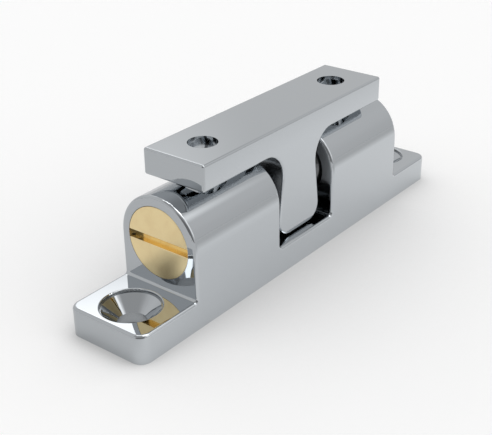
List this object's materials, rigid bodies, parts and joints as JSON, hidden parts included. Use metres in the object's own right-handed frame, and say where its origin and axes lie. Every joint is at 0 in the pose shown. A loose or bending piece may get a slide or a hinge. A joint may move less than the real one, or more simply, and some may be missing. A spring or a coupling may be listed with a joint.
{
  "type": "double ball catch",
  "caption": "Double ball door catch: a long chromed case with a sprung ball each side of a central gap, brass adjusting screws, and a strike plate whose tongue snaps in between the balls.",
  "frame": {"origin": "middle of the case's underside, which lies on the timber", "axes": "+X along the case from one screw foot to the other, +Z from the case towards the strike plate, and Y across the case"},
  "size_m": [0.06, 0.011, 0.0185],
  "materials": {
    "case_chrome": "polished chrome plate",
    "strike_chrome": "polished chrome plate",
    "ball_steel": "ground and polished bearing steel",
    "spring_steel": "drawn spring wire, lightly oiled",
    "screw_brass": "turned brass, unlacquered"
  },
  "bodies": {
    "case": {"catch_case": "case_chrome"},
    "strike": {"strike_plate": "strike_chrome"},
    "ball_left": {"ball_left": "ball_steel"},
    "ball_right": {"ball_right": "ball_steel"},
    "spring_left": {"spring_left": "spring_steel"},
    "spring_right": {"spring_right": "spring_steel"},
    "adjusting_screw_left": {"adjusting_screw_left": "screw_brass"},
    "adjusting_screw_right": {"adjusting_screw_right": "screw_brass"}
  },
  "joints": [
    {"name": "strike_lift", "type": "slide", "parent": "case", "child": "strike", "axis": [0, 0, 1], "range_m": [0, 0.016]},
    {"name": "ball_left_travel", "type": "slide", "parent": "case", "child": "ball_left", "axis": [-1, 0, 0], "range_m": [0, 0.0015], "stiffness_N_per_m": 6900, "deforming": ["spring_left"]},
    {"name": "ball_right_travel", "type": "slide", "parent": "case", "child": "ball_right", "axis": [1, 0, 0], "range_m": [0, 0.0015], "stiffness_N_per_m": 6900, "deforming": ["spring_right"]},
    {"name": "screw_left_advance", "type": "slide", "parent": "case", "child": "spring_left", "axis": [1, 0, 0], "range_m": [0, 0.00169], "deforming": ["spring_left"]},
    {"name": "screw_right_advance", "type": "slide", "parent": "case", "child": "spring_right", "axis": [-1, 0, 0], "range_m": [0, 0.00169], "deforming": ["spring_right"]},
    {"name": "screw_left_turn", "type": "hinge", "parent": "spring_left", "child": "adjusting_screw_left", "pos_m": [0, 0, 0.0092], "axis": [1, 0, 0], "range_deg": [0, 810]},
    {"name": "screw_right_turn", "type": "hinge", "parent": "spring_right", "child": "adjusting_screw_right", "pos_m": [0, 0, 0.0092], "axis": [-1, 0, 0], "range_deg": [0, 810]}
  ],
  "couplings": [
    {"joint": "screw_left_turn", "follows": "screw_left_advance", "rad_per_m": 8377.6},
    {"joint": "screw_right_turn", "follows": "screw_right_advance", "rad_per_m": 8377.6}
  ]
}
